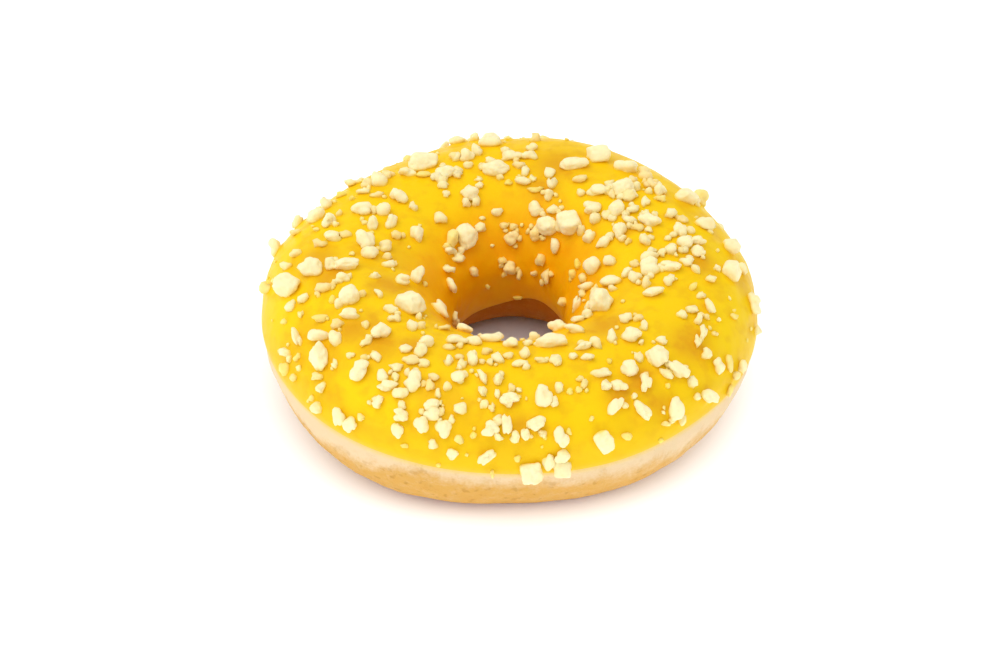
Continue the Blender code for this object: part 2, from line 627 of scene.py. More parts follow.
@dataclass(frozen=True)
class Studio:
    """A plain white floor under soft light from above, and the camera.

    The soft box lights all but the floor. A wide sun lights only the floor and keeps it white up
    to the doughnut's foot.
    """

    viewpoint: Viewpoint
    floor_size: float = 6.0
    floor_colour: Colour = (0.92, 0.92, 0.92)
    floor_roughness: float = 0.9
    floor_specular: float = 0.1
    sky: float = 0.78
    box_size: float = 0.8
    box_place: tuple[float, float, float] = (-0.33, -0.16, 0.84)
    box_power: float = 3.7
    sun_place: tuple[float, float, float] = (0.0, -0.76, 0.65)
    sun_angle: float = 140.0
    sun_strength: float = 4.4
    sun_colour: Colour = (0.90, 0.96, 1.02)

    def build(self, shift: Array) -> None:
        """Makes the floor, the world, the lamps and the camera.

        Args:
            shift: The form's shift in plan, which the camera follows.
        """
        floor = self.lay_floor()
        self.light(floor)
        self.light_floor(floor)
        self.aim_camera(shift)

    def lay_floor(self) -> bpy.types.Object:
        """Lays a flat square at height 0.

        Returns:
            The floor.
        """
        half = self.floor_size / 2
        corners = np.array([(-half, -half, 0), (half, -half, 0), (half, half, 0), (-half, half, 0)])
        floor = make_piece("floor", corners, np.array([[0, 1, 2, 3]]), {})
        graph = Graph("floor_white")
        floor.data.materials.append(graph.finish({
            "Base Color": (*self.floor_colour, 1.0), "Roughness": self.floor_roughness,
            "Specular IOR Level": self.floor_specular}))
        return floor

    def light(self, floor: bpy.types.Object) -> None:
        """White light from all round, and a large soft box above that leaves the floor alone.

        Args:
            floor: The floor.
        """
        world = bpy.data.worlds.new("studio")
        world.use_nodes = True
        sky = world.node_tree.nodes["Background"].inputs
        sky["Color"].default_value = (1.0, 1.0, 1.0, 1.0)
        sky["Strength"].default_value = self.sky
        bpy.context.scene.world = world
        lamp = bpy.data.lights.new("soft_box", "AREA")
        lamp.size = self.box_size
        lamp.energy = self.box_power
        hung = self.hang(lamp, self.box_place)
        self.link(hung, floor, "unlit_floor", "EXCLUDE")

    def light_floor(self, floor: bpy.types.Object) -> None:
        """A sun as wide as a window wall, from the front and above, that lights the floor alone.

        Args:
            floor: The floor.
        """
        sun = bpy.data.lights.new("floor_sun", "SUN")
        sun.angle = math.radians(self.sun_angle)
        sun.energy = self.sun_strength
        sun.color = self.sun_colour
        hung = self.hang(sun, self.sun_place)
        self.link(hung, floor, "lit_floor", "INCLUDE")

    def link(self, lamp: bpy.types.Object, floor: bpy.types.Object, name: str,
             state: str) -> None:
        """Makes a lamp light only the floor, or everything but the floor.

        Args:
            lamp: The lamp.
            floor: The floor.
            name: Name of the collection that holds the floor for this lamp.
            state: INCLUDE for only the floor, EXCLUDE for all but the floor.
        """
        held = bpy.data.collections.new(name)
        held.objects.link(floor)
        lamp.light_linking.receiver_collection = held
        held.collection_objects[0].light_linking.link_state = state

    def hang(self, lamp: bpy.types.Light, place: tuple[float, float, float]) -> bpy.types.Object:
        """Puts a lamp at a place, facing the origin.

        Args:
            lamp: The lamp's data.
            place: Where it hangs, in metres.

        Returns:
            The lamp's object.
        """
        hung = bpy.data.objects.new(lamp.name, lamp)
        hung.location = place
        hung.rotation_euler = (-Vector(place)).to_track_quat("-Z", "Y").to_euler()
        bpy.context.scene.collection.objects.link(hung)
        return hung

    def aim_camera(self, shift: Array) -> None:
        """Puts the camera at its viewpoint and makes it the scene's.

        Args:
            shift: The form's shift in plan, which the camera follows.
        """
        _, _, back = self.viewpoint.axes()
        lens = bpy.data.cameras.new("camera")
        lens.lens = self.viewpoint.lens
        lens.sensor_width = self.viewpoint.sensor
        lens.clip_start = 0.01
        camera = bpy.data.objects.new("camera", lens)
        place = np.array(self.viewpoint.aim) + shift + back * self.viewpoint.distance
        camera.location = Vector(place)
        camera.rotation_euler = (-Vector(back)).to_track_quat("-Z", "Y").to_euler()
        bpy.context.scene.collection.objects.link(camera)
        bpy.context.scene.camera = camera
        bpy.context.scene.view_settings.view_transform = "Standard"


# --------------------------------------------------------------------------- dough

@dataclass
class Dough:
    """The ring of fried dough, smooth under the icing and uneven where it is bare."""

    form: RingForm
    finish: DoughFinish
    turns: int = 560
    covered_stations: int = 24
    bare_stations: int = 140
    covered_depth: float = 1.3 * MM
    lip_depth: float = 0.3 * MM
    ramp: tuple[float, float] = (0.1 * MM, 2.2 * MM)
    fade: float = 4.0 * MM
    overlap: float = 2.6 * MM
    swell: float = 0.20 * MM
    swells: SmoothField = SmoothField(11, 4.5 * MM)
    dimple: float = 0.07 * MM
    dimples: SmoothField = SmoothField(12, 1.3 * MM)
    pore: float = 0.16 * MM
    pores: SmoothField = SmoothField(13, 0.9 * MM)
    pore_limits: tuple[float, float] = (0.55, 0.9)
    bare_limits: tuple[float, float] = (-1.0 * MM, 0.3 * MM)
    fried_height: float = 9.4 * MM
    fried_waves: tuple[Wave, ...] = (Wave(1, 1.1 * MM, -30), Wave(2, 0.8 * MM, -20),
                                     Wave(5, 0.5 * MM, -25))
    fried_share: float = 0.52
    fried_more: Wave = Wave(1, 0.16, -25)
    fried_blur: float = 6.5 * MM
    fried_stray: float = 1.3 * MM
    strays: SmoothField = SmoothField(14, 5 * MM)
    fried_in_hole: float = 1.15
    hole_limits: tuple[float, float] = (0.1, -0.3)
    fried_underneath: float = 0.35
    underneath_height: float = 3.5 * MM
    stain: float = 0.55
    stain_width: float = 1.1 * MM

    def depth_from_lip(self, inside: Array) -> Array:
        """Depth under the form by distance from a lip, positive under the icing."""
        under = self.lip_depth + (self.covered_depth - self.lip_depth) * smooth(inside, *self.ramp)
        return np.where(inside > 0, under, self.lip_depth * (1 - smooth(-inside, 0, self.fade)))

    def fried(self, turn: Array, place: Array, height: Array, hole_side: Array) -> Array:
        """How far the crust is fried: most in the hole, then under an uneven edge outside.

        It is the larger of the hole's share and the outside's, which is a smooth step of the
        height below the edge, plus a share that grows towards the floor.

        Args:
            turn: Turn angles of the vertices.
            place: Their places on the form.
            height: Their heights.
            hole_side: How far they face into the hole, from 0 to 1.

        Returns:
            A value for each vertex, about 1 where golden and more where brown.
        """
        edge = self.fried_height + waves(self.fried_waves, turn)
        edge = edge + self.fried_stray * self.strays.at(place)
        outside = smooth(edge - height, -self.fried_blur / 2, self.fried_blur / 2)
        outside = outside * (self.fried_share + self.fried_more.at(turn))
        low = self.fried_underneath * (1 - smooth(height, 0.0, self.underneath_height))
        return np.maximum(outside, self.fried_in_hole * hole_side) + low

    def build(self) -> bpy.types.Object:
        """Works out the ring's skin and dresses it.

        Stations first run under the icing from the outer lip to the inner one, then on through
        the bare hole side, base and outer side. The skin is sunk by depth_from_lip, and the bare
        part is raised and dented by noise.

        Returns:
            The piece.
        """
        grid = RingGrid(self.turns, self.covered_stations + self.bare_stations)
        turn, station = grid.spread()
        outer, inner = self.form.lips(turn)
        reach = self.overlap / self.form.section_radius
        covered = station < self.covered_stations
        over = station / self.covered_stations
        bare = (station - self.covered_stations) / self.bare_stations
        covered_angle = outer + reach + over * (inner - outer - 2 * reach)
        bare_angle = inner - reach + bare * (outer + FULL_TURN - inner + 2 * reach)
        section = np.where(covered, covered_angle, bare_angle)
        past_lip = np.maximum(inner - section, section - outer - FULL_TURN)
        inside = np.where(covered, self.overlap, self.form.section_radius * past_lip)

        place = self.form.point(turn, section)
        relief = (self.swell * self.swells.at(place) + self.dimple * self.dimples.at(place)
                  - self.pore * smooth(self.pores.at(place), *self.pore_limits))
        depth = self.depth_from_lip(inside) - relief * (1 - smooth(inside, *self.bare_limits))
        points = self.form.skin(turn, section, depth)
        hole_side = smooth(np.cos(section), *self.hole_limits)
        fried = self.fried(turn, place, points[:, 2], hole_side)
        stain = self.stain * (1 - smooth(-inside, 0.0, self.stain_width)) * (1 - hole_side)
        ring = make_piece("dough", points, grid.faces(), {"fried": fried, "stain": stain},
                          grid.unwrapped())
        ring.data.materials.append(self.finish.material())
        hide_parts("dough_ring")
        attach(ring, BODY)
        return ring


# --------------------------------------------------------------------------- icing

class AmberSpot(NamedTuple):
    """A spot of dull amber on the icing: column and row in the camera's frame, and its radius."""

    column: int
    row: int
    radius: float


# Dull amber spots: a few where the icing is thin, the rest amber round crumbs, partly painted shade.
AMBER_SPOTS = tuple(AmberSpot(column, row, radius * MM) for column, row, radius in (
    (556, 165, 4.5), (545, 190, 3.0), (318, 258, 4.0), (330, 275, 3.5), (352, 328, 4.0),
    (388, 285, 3.5), (378, 345, 4.0), (415, 345, 3.0), (605, 325, 4.0), (700, 262, 3.0),
    (690, 345, 4.0), (640, 380, 3.5), (432, 275, 4.0), (588, 285, 3.0), (618, 395, 2.5),
    (520, 425, 2.0), (660, 405, 2.5)))


@dataclass
class Icing:
    """The icing shell: a soft uneven outer face with rounded lips, and a face on the dough."""

    form: RingForm
    dough: Dough
    finish: IcingFinish
    turns: int = 566
    face_stations: int = 128
    round_stations: int = 6
    back_stations: int = 20
    lip_round: float = 0.55 * MM
    lip_sink: float = 0.08 * MM
    bite: float = 0.06 * MM
    clearance: float = 0.10 * MM
    swell: float = 0.30 * MM
    swells: SmoothField = SmoothField(21, 11 * MM)
    wrinkle: float = 0.17 * MM
    wrinkles: SmoothField = SmoothField(22, 3.2 * MM)
    wrinkle_radius: float = 12 * MM
    ripple: float = 0.06 * MM
    ripples: SmoothField = SmoothField(23, 1.5 * MM)
    calm_width: float = 3.0 * MM
    collar: float = 0.22 * MM
    collar_width: float = 1.0 * MM
    collar_share: float = 0.75
    full_collar_radius: float = 1.5 * MM
    collared_width: float = 1.0 * MM
    trough_limits: tuple[float, float] = (0.05 * MM, 0.28 * MM)
    shade_limits: tuple[float, float] = (0.35, 0.95)
    low_width: float = 12 * MM
    edge_width: float = 1.4 * MM

    def __post_init__(self) -> None:
        """Spreads the grid over the shell: outer face with its rounds, then back face."""
        self.front_stations = self.face_stations + 2 * self.round_stations
        self.grid = RingGrid(self.turns, self.front_stations + self.back_stations)
        self.turn, self.station = self.grid.spread()
        outer, inner = self.form.lips(self.turn)
        self.length = (inner - outer) * self.form.section_radius
        self.front = self.station < self.front_stations
        self.run = np.where(self.front, self.front_run(), self.back_run())
        self.section = outer + self.run / self.form.section_radius
        self.inside = np.minimum(self.run, self.length - self.run)
        self.place = self.form.point(self.turn, self.section)
        self.out = self.form.normal(self.turn, self.section)

    def front_run(self) -> Array:
        """Distance from the outer lip along the outer face, with close stations at its rounds.

        Each round's stations follow 1 - cosine over a quarter turn, and the rest are even.

        Returns:
            A distance for each vertex.
        """
        from_start = self.station / self.round_stations
        from_end = (self.front_stations - 1 - self.station) / self.round_stations
        quarter = math.pi / 2
        start = self.lip_round * (1 - np.cos(quarter * np.clip(from_start, 0, 1)))
        end = self.lip_round * (1 - np.cos(quarter * np.clip(from_end, 0, 1)))
        last = self.front_stations - 1 - self.round_stations
        share = (self.station - self.round_stations) / (last - self.round_stations)
        middle = self.lip_round + share * (self.length - 2 * self.lip_round)
        return np.where(from_start < 1, start, np.where(from_end < 1, self.length - end, middle))

    def back_run(self) -> Array:
        """Distance from the outer lip along the back face, which runs back from the inner lip.

        An even share less a part of its sine brings the stations closer at both lips.

        Returns:
            A distance for each vertex.
        """
        share = (self.station - self.front_stations + 1) / (self.back_stations + 1)
        eased = share - np.sin(FULL_TURN * share) / FULL_TURN * 0.7
        return self.length * (1 - eased)

    def back_depth(self) -> Array:
        """Depth of the back face: close over the dough, and biting into it at the lips."""
        open_share = smooth(self.inside, 0.0, 1.0 * MM)
        return (self.dough.depth_from_lip(self.inside) - self.clearance * open_share
                + self.bite * (1 - open_share))

    def relief(self) -> Array:
        """Height of the outer face over the form: broad swells, wrinkles along the ring, ripples.

        Wrinkles read noise at a point whose distance from the axis is the same all round, so that
        they are several times longer along the ring than across it.

        Returns:
            A height for each vertex.
        """
        around = self.wrinkle_radius
        along_ring = np.column_stack((around * np.sin(self.turn), around * np.cos(self.turn),
                                      self.section * self.form.section_radius))
        height = (self.swell * self.swells.at(self.place)
                  + self.wrinkle * self.wrinkles.at(along_ring)
                  + self.ripple * self.ripples.at(self.place))
        return height * smooth(self.inside, 0.0, self.calm_width)

    def collars(self, centres: Array, radii: Array) -> Array:
        """Height of the icing that climbs each crumb's foot.

        It falls from the collar's height at the crumb's edge to nothing over the collar's width,
        by a smooth step of the distance from the crumb's centre.

        Args:
            centres: The crumbs' places on the icing.
            radii: Their half widths.

        Returns:
            The highest collar at each vertex.
        """
        raised = np.zeros(len(self.place))
        for centre, radius in zip(centres, radii):
            away = np.linalg.norm(self.place - centre, axis=1)
            near = away < radius + self.collar_width
            share = smooth(away[near] - self.collar_share * radius, 0.0, self.collar_width)
            height = self.collar * min(1.0, radius / self.full_collar_radius)
            raised[near] = np.maximum(raised[near], height * (1 - share))
        return raised

    def settle(self) -> None:
        """Works out the outer face before crumbs press on it."""
        rim = np.clip(1 - self.inside / self.lip_round, 0, 1)
        rounded = 1 - np.sqrt(1 - rim * rim)
        drop = self.dough.lip_depth + self.bite - self.lip_sink
        self.lip_depth = self.lip_sink * (1 - smooth(self.inside, 0, 2 * MM)) + drop * rounded
        self.raised = self.relief()

    def surface(self) -> tuple[Array, Array]:
        """The outer face before crumbs press on it.

        Returns:
            Its vertices and their outward directions.
        """
        depth = self.lip_depth - self.raised
        points = self.place - depth[:, None] * self.out
        return points[self.front], self.out[self.front]

    def tints(self, collars: Array, viewpoint: Viewpoint) -> dict[str, Array]:
        """What the icing's colour depends on, at each vertex.

        The dull share is high in troughs, where the icing is thin, on the collars, where it is
        painted shade round the crumbs' feet, and at the amber spots, where it falls off as the bell
        curve of distance / radius. Shade, painted amber shade, grows into the hole; the lemon share,
        painted light, towards both sides and the front; the low share, painted shade, towards the
        outer lip; and edge within a millimetre or so of it.

        Args:
            collars: Heights of the crumbs' collars.
            viewpoint: The camera, whose frame places the amber spots.

        Returns:
            The values by attribute name.
        """
        thin_and_foot_shade = 0.45 * smooth(-self.raised, *self.trough_limits)
        seen, away = viewpoint.project(self.place, self.form.shift)
        for spot in AMBER_SPOTS:
            cost = np.hypot(*(seen - (spot.column, spot.row)).T) + 100 * away
            nearest = np.argmin(np.where(self.front, cost, np.inf))
            apart = np.linalg.norm(self.place - self.place[nearest], axis=1)
            thin_and_foot_shade = np.maximum(thin_and_foot_shade, 0.95 * np.exp(-(apart / spot.radius) ** 2))
        # The collars add painted shade: the icing dulls round each crumb's foot.
        thin_and_foot_shade = np.maximum(thin_and_foot_shade, 0.5 * collars / self.collar)
        x, y, _ = self.place.T
        # Painted shade down the outer flank, fading up from the outer lip, more on the left.
        low = 0.55 + 0.15 * smooth(-x, 20 * MM, 44 * MM)
        return {"thin_and_foot_shade": thin_and_foot_shade,
                # The lemon share is painted light, towards both sides and the front.
                "lit_lemon": np.clip(0.3 + np.maximum(-x / 0.08, x / 0.12) - y / 0.30, 0, 1),
                # Painted amber shade grows into the hole.
                "shade": smooth(-np.cos(self.section), *self.shade_limits),
                "low": low * (1 - smooth(self.run, 1.0 * MM, self.low_width)),
                "edge": 0.5 * (1 - smooth(self.run, 0.1 * MM, self.edge_width))}

    def build(self, crumbs: "CrumbBed", viewpoint: Viewpoint) -> bpy.types.Object:
        """Joins the outer face, with its collars, to the back face and dresses the shell.

        Args:
            crumbs: The crumbs that lie on the icing.
            viewpoint: The camera, whose frame places the amber spots.

        Returns:
            The piece.
        """
        large = crumbs.widths > self.collared_width
        collars = self.collars(crumbs.laid.feet[large], crumbs.widths[large] / 2)
        front_depth = self.lip_depth - self.raised - collars * smooth(self.inside, 0, 1.5 * MM)
        depth = np.where(self.front, front_depth, self.back_depth())
        points = self.place - depth[:, None] * self.out
        shell = make_piece("icing", points, self.grid.faces(), self.tints(collars, viewpoint),
                           self.grid.unwrapped())
        shell.data.materials.append(self.finish.material())
        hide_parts("icing_shell")
        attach(shell, BODY)
        return shell


# --------------------------------------------------------------------------- crumbs

class Tone(Enum):
    """How a crumb looks: how tan it is, the tan partly painted shade, and how much icing coats it."""

    CREAM = (0.0, 0.0)
    # Tan: partly the crumbs' own tone, partly painted shade for crumbs that sit in shade, as in the
    # hole.
    TAN = (0.60, 0.1)
    COATED = (0.0, 0.5)


class Mark(NamedTuple):
    """A crumb by its place in the camera's frame.

    Column and row are in pixels, width and height in millimetres as seen, and tilt is the
    anticlockwise slope of the width in degrees. A square crumb is a block that lies along its
    width and height.
    """

    column: int
    row: int
    width: float
    height: float
    tilt: float = 0.0
    square: bool = False


MARKS: dict[Tone, tuple[tuple[float, ...], ...]] = {
    Tone.CREAM: (
        # back left
        (326, 205, 2.1, 2.5), (315, 216, 2.9, 2.5), (329, 220, 2.5, 2.5), (297, 222, 1.8, 2.1),
        (333, 236, 2.9, 2.1), (296, 254, 2.1, 1.3), (275, 248, 2.1, 2.9), (332, 264, 2.5, 2.3),
        (347, 264, 4.3, 2.3, 5), (362, 209, 3.6, 2.5), (384, 210, 2.5, 2.5), (391, 221, 2.1, 2.7),
        (372, 224, 1.8, 3.0), (366, 240, 3.2, 3.6), (371, 254, 2.9, 2.5), (385, 246, 2.1, 2.1),
        (398, 195, 3.2, 2.7), (380, 180, 2.7, 2.9), (365, 192, 2.5, 1.1), (353, 183, 2.7, 1.3),
        # back
        (408, 173, 3.2, 1.8), (424, 161, 4.8, 3.2), (414, 207, 1.6, 2.1), (417, 235, 2.3, 3.2),
        (458, 138, 2.9, 1.6), (475, 137, 1.4, 1.8), (490, 141, 3.6, 2.7), (467, 155, 2.5, 2.5),
        (477, 151, 1.8, 2.5), (468, 165, 1.8, 1.4), (445, 172, 3.6, 2.3), (443, 186, 2.0, 1.6),
        (447, 195, 1.4, 1.4), (479, 178, 1.8, 1.1), (479, 186, 1.6, 1.4), (496, 169, 4.8, 3.0),
        (513, 155, 3.6, 1.8), (530, 155, 2.9, 1.8), (532, 147, 2.0, 1.6), (525, 172, 1.6, 2.3),
        (533, 178, 1.3, 1.6), (523, 182, 3.0, 1.6), (550, 173, 2.0, 2.0), (553, 183, 2.0, 2.3),
        (549, 195, 1.8, 2.3), (554, 208, 2.5, 1.8), (574, 164, 5.0, 2.3), (582, 192, 1.6, 1.6),
        (470, 194, 3.4, 3.0), (476, 203, 1.6, 2.1), (441, 218, 2.5, 2.3), (498, 213, 2.3, 1.6),
        (536, 209, 2.9, 3.0), (482, 218, 1.3, 0.9), (480, 227, 2.3, 2.0), (466, 237, 4.3, 5.0),
        (450, 251, 2.1, 1.6), (459, 258, 2.5, 1.8), (492, 246, 0.9, 0.7), (547, 225, 4.1, 3.6),
        (569, 223, 4.6, 4.5), (555, 246, 1.6, 2.9), (590, 236, 2.3, 2.5),
        # back right
        (598, 155, 3.9, 3.4), (626, 167, 3.9, 2.3), (624, 187, 3.8, 3.4), (609, 184, 1.6, 1.4),
        (597, 191, 3.6, 2.5), (593, 207, 3.2, 2.5), (616, 209, 2.9, 3.4), (634, 209, 2.5, 1.8),
        (645, 202, 1.6, 2.1), (661, 190, 2.1, 2.7), (648, 191, 1.4, 1.4), (649, 221, 4.1, 2.5, -20),
        (629, 220, 2.5, 1.6), (596, 219, 2.1, 2.1), (619, 231, 2.5, 2.9), (644, 241, 2.1, 2.5),
        (603, 243, 3.0, 2.0, 45), (610, 261, 2.3, 2.1), (671, 213, 2.3, 2.0), (670, 250, 2.0, 2.3),
        (681, 230, 2.3, 2.9), (686, 243, 2.7, 2.5), (696, 240, 3.0, 1.6), (697, 251, 2.5, 2.1),
        (705, 223, 3.6, 2.0), (687, 198, 3.9, 2.9), (731, 247, 3.0, 2.7), (650, 257, 3.2, 2.1),
        (663, 253, 1.8, 1.6), (652, 238, 1.3, 1.1), (667, 238, 1.4, 1.1),
        # left
        (311, 267, 4.1, 3.6, -25), (287, 285, 4.6, 4.3), (286, 267, 2.0, 1.6), (389, 264, 2.3, 1.4),
        (374, 276, 2.3, 1.3), (341, 279, 2.7, 2.1), (303, 299, 2.3, 1.6, 40), (348, 296, 3.4, 3.8),
        (350, 314, 3.6, 2.1), (290, 305, 2.0, 2.1), (380, 293, 2.1, 1.1, -60), (403, 279, 2.5, 2.0),
        (416, 275, 3.4, 2.0, 60), (411, 303, 5.0, 3.9), (418, 317, 1.1, 1.6), (391, 309, 2.5, 1.6),
        (394, 318, 2.3, 1.6), (381, 331, 3.4, 3.0), (412, 326, 1.8, 2.1), (427, 341, 2.5, 2.1),
        (366, 342, 2.5, 1.8, 50), (296, 337, 3.6, 1.5, -65), (319, 335, 3.8, 2.1), (335, 340, 2.3, 3.0),
        (318, 357, 3.3, 5.2), (286, 352, 2.1, 1.6), (335, 365, 2.0, 1.3, -65), (351, 357, 1.6, 1.3),
        (359, 369, 4.2, 2.7, 60), (376, 357, 2.1, 1.5, -40), (405, 349, 2.3, 1.6), (421, 351, 2.3, 2.5),
        (424, 364, 2.0, 1.6), (397, 368, 2.7, 1.6), (383, 376, 2.0, 2.5), (389, 385, 3.9, 2.1),
        (396, 377, 1.4, 1.8), (413, 381, 3.9, 3.0, 50), (299, 369, 1.1, 1.1), (321, 388, 2.0, 2.0),
        # round the hole
        (449, 269, 2.5, 1.4, -25), (451, 286, 2.8, 1.7, -70), (441, 309, 3.2, 1.8, -50),
        (454, 316, 1.1, 1.6), (455, 323, 1.6, 1.3), (465, 329, 2.3, 1.6, -20), (457, 340, 3.6, 1.6),
        (474, 341, 2.5, 1.8), (492, 339, 3.6, 2.0), (511, 344, 2.3, 2.0), (533, 338, 2.0, 1.8),
        (528, 343, 1.6, 1.1), (550, 341, 5.2, 2.7, 8), (575, 330, 3.4, 1.6, -10),
        (557, 327, 2.8, 2.1),
        (576, 305, 2.7, 1.4, 70), (588, 306, 1.3, 1.8), (588, 314, 2.0, 1.6), (580, 319, 2.7, 1.1),
        (593, 266, 3.2, 3.2), (586, 286, 2.7, 1.3, 10), (601, 301, 3.9, 4.3), (610, 281, 3.6, 2.0),
        # right
        (626, 272, 2.3, 1.6, 40), (650, 266, 3.4, 3.6), (636, 278, 2.5, 2.3), (648, 283, 1.8, 2.5),
        (654, 292, 3.8, 1.6, 10), (672, 267, 3.6, 2.0), (687, 262, 2.7, 1.8), (696, 269, 2.1, 1.5, -50),
        (668, 280, 2.5, 1.8, 60), (732, 271, 3.4, 3.6), (743, 269, 1.6, 2.0), (716, 269, 1.4, 1.4),
        (709, 278, 2.3, 1.3), (701, 296, 1.8, 1.3), (709, 307, 2.9, 1.6, -60), (693, 310, 2.3, 1.4),
        (699, 319, 1.6, 2.1), (682, 315, 2.0, 1.6), (703, 332, 3.0, 1.5, 75), (698, 342, 1.4, 2.5),
        (706, 353, 2.0, 2.1), (754, 304, 3.6, 2.1, -65), (757, 330, 1.6, 1.6), (718, 366, 2.1, 3.0),
        (742, 367, 1.8, 2.3), (736, 375, 1.6, 1.4), (626, 318, 2.3, 1.8), (631, 334, 3.6, 2.7),
        (644, 326, 1.6, 2.0), (612, 337, 1.8, 2.7), (597, 344, 2.5, 1.9, -25), (661, 341, 2.1, 1.8),
        (656, 356, 4.1, 3.8), (639, 358, 1.6, 2.3), (629, 369, 3.2, 2.9), (677, 368, 5.0, 2.7, -42),
        (665, 373, 2.9, 1.6, -35), (692, 382, 2.1, 2.5), (648, 383, 2.0, 3.4), (601, 373, 3.8, 1.8),
        (620, 384, 3.2, 2.0), (606, 386, 2.0, 2.0), (588, 358, 2.3, 1.6), (573, 357, 1.6, 1.3),
        (583, 346, 3.2, 1.5, 25), (634, 396, 1.3, 1.4), (615, 407, 3.9, 2.2, 60),
        (643, 410, 4.3, 2.1, -45), (676, 408, 3.0, 4.3), (681, 421, 1.4, 1.8),
        (709, 395, 3.6, 2.2, -40), (697, 397, 1.4, 1.4),
        # front
        (499, 359, 2.3, 2.3), (508, 357, 1.8, 1.4), (519, 363, 2.7, 1.4), (526, 367, 1.4, 1.4),
        (524, 353, 1.8, 2.1), (555, 361, 2.1, 2.1), (448, 360, 1.8, 2.1), (473, 359, 1.8, 3.0),
        (459, 377, 3.0, 2.5), (459, 368, 1.3, 1.3), (483, 376, 3.0, 1.3, -65), (499, 379, 2.1, 2.1),
        (447, 386, 1.6, 2.1), (560, 388, 1.6, 2.1), (437, 393, 1.3, 2.1), (401, 393, 3.0, 2.0),
        (377, 400, 2.6, 2.3, 50), (316, 408, 2.3, 2.0), (338, 416, 2.3, 3.2), (350, 424, 2.5, 2.9),
        (400, 414, 2.7, 2.5), (397, 430, 2.3, 2.9), (431, 405, 2.9, 2.3), (432, 415, 3.2, 2.7),
        (420, 425, 2.9, 3.2), (444, 429, 3.2, 3.4), (434, 443, 2.1, 2.0), (460, 408, 2.3, 2.3),
        (453, 454, 2.3, 2.1), (487, 458, 3.6, 1.9, 40), (489, 428, 3.4, 3.0), (497, 436, 2.3, 1.6, -35),
        (506, 424, 2.1, 3.8), (516, 437, 2.0, 2.5), (526, 434, 1.8, 2.3), (535, 424, 3.6, 2.9),
        (483, 392, 2.3, 1.5, -50), (484, 405, 1.6, 1.8), (498, 393, 1.1, 1.8), (509, 400, 3.6, 2.9),
        (543, 395, 3.2, 4.1), (561, 437, 2.9, 4.0), (563, 455, 2.8, 2.8),
        (562, 468, 3.1, 3.2, 0, True), (548, 462, 2.3, 3.0), (531, 473, 3.8, 3.8, 8, True),
        (605, 443, 3.8, 4.3)),
    # Tan marks: partly the crumbs' own tone, partly painted shade on crumbs in the hole's shade.
    Tone.TAN: (
        (338, 213, 1.1, 1.4), (295, 233, 1.8, 1.1), (320, 243, 2.5, 1.6), (346, 234, 2.1, 1.4),
        (388, 257, 1.8, 1.4), (396, 235, 1.8, 1.8), (367, 184, 2.0, 1.3), (376, 195, 2.5, 1.3),
        (390, 174, 2.5, 1.4), (454, 157, 1.8, 1.8), (482, 166, 1.4, 1.1), (535, 139, 1.8, 1.8),
        (519, 166, 2.5, 1.6), (580, 178, 2.7, 1.4), (504, 226, 1.8, 1.3), (511, 237, 3.0, 3.0),
        (535, 233, 2.1, 3.0), (645, 174, 2.3, 2.5), (652, 184, 2.0, 2.0), (633, 181, 1.6, 1.6),
        (636, 228, 2.5, 1.4), (627, 242, 1.3, 1.4), (682, 219, 2.0, 1.4), (324, 288, 2.9, 1.8),
        (361, 295, 1.6, 1.4), (338, 324, 2.5, 1.8), (421, 327, 1.6, 1.6), (365, 326, 1.4, 1.6),
        (318, 375, 2.1, 1.4), (365, 357, 1.6, 1.3), (411, 360, 3.2, 1.8), (431, 386, 1.8, 2.3),
        (473, 271, 1.8, 1.8), (509, 267, 2.3, 2.6), (504, 275, 1.1, 1.1), (519, 274, 1.3, 2.3),
        (540, 261, 2.0, 2.3), (534, 273, 1.4, 1.1), (546, 276, 1.6, 2.8), (563, 302, 1.8, 1.4),
        (584, 278, 1.6, 1.8), (594, 291, 1.3, 2.5), (443, 328, 2.1, 1.1), (449, 347, 2.3, 1.1),
        (486, 352, 1.8, 1.3), (540, 360, 2.3, 1.1), (460, 357, 1.6, 1.1), (434, 378, 2.0, 1.5),
        (512, 387, 1.3, 1.6), (491, 407, 1.3, 1.8), (440, 411, 1.4, 1.8), (580, 379, 1.6, 1.1),
        (635, 264, 1.8, 1.6), (707, 317, 1.4, 1.1), (638, 319, 1.8, 1.4), (644, 376, 1.6, 1.6),
        (670, 371, 1.3, 1.3), (667, 424, 1.8, 0.9), (293, 378, 1.4, 1.3), (715, 333, 1.3, 0.9),
        (584, 384, 1.4, 1.8)),
    Tone.COATED: (
        (352, 199, 1.0, 1.0), (341, 195, 1.8, 1.1), (425, 174, 2.9, 1.1), (508, 181, 1.6, 1.1),
        (536, 190, 3.2, 1.1), (452, 239, 2.1, 3.6), (701, 198, 2.7, 2.7), (661, 199, 1.8, 1.3),
        (266, 287, 2.1, 2.1), (333, 300, 1.3, 1.6), (301, 314, 1.1, 1.4), (284, 321, 1.3, 1.1),
        (320, 319, 3.2, 1.4), (296, 357, 1.4, 1.4), (285, 370, 1.8, 2.1), (425, 284, 0.8, 1.0),
        (578, 264, 1.3, 1.8), (573, 274, 1.3, 1.6), (518, 297, 1.8, 0.9),
        (487, 286, 1.0, 1.0), (694, 287, 2.0, 1.1, 45), (735, 317, 1.4, 1.1), (729, 363, 1.4, 3.0),
        (610, 361, 0.9, 1.1), (311, 398, 1.1, 1.1), (362, 418, 1.6, 1.4), (403, 446, 1.4, 0.8),
        (458, 440, 1.8, 1.8), (473, 434, 1.3, 1.4), (491, 474, 0.8, 1.6), (438, 465, 0.9, 0.8),
        (570, 391, 1.3, 1.3), (578, 390, 1.3, 1.2), (570, 431, 1.1, 1.4), (517, 459, 1.3, 1.4),
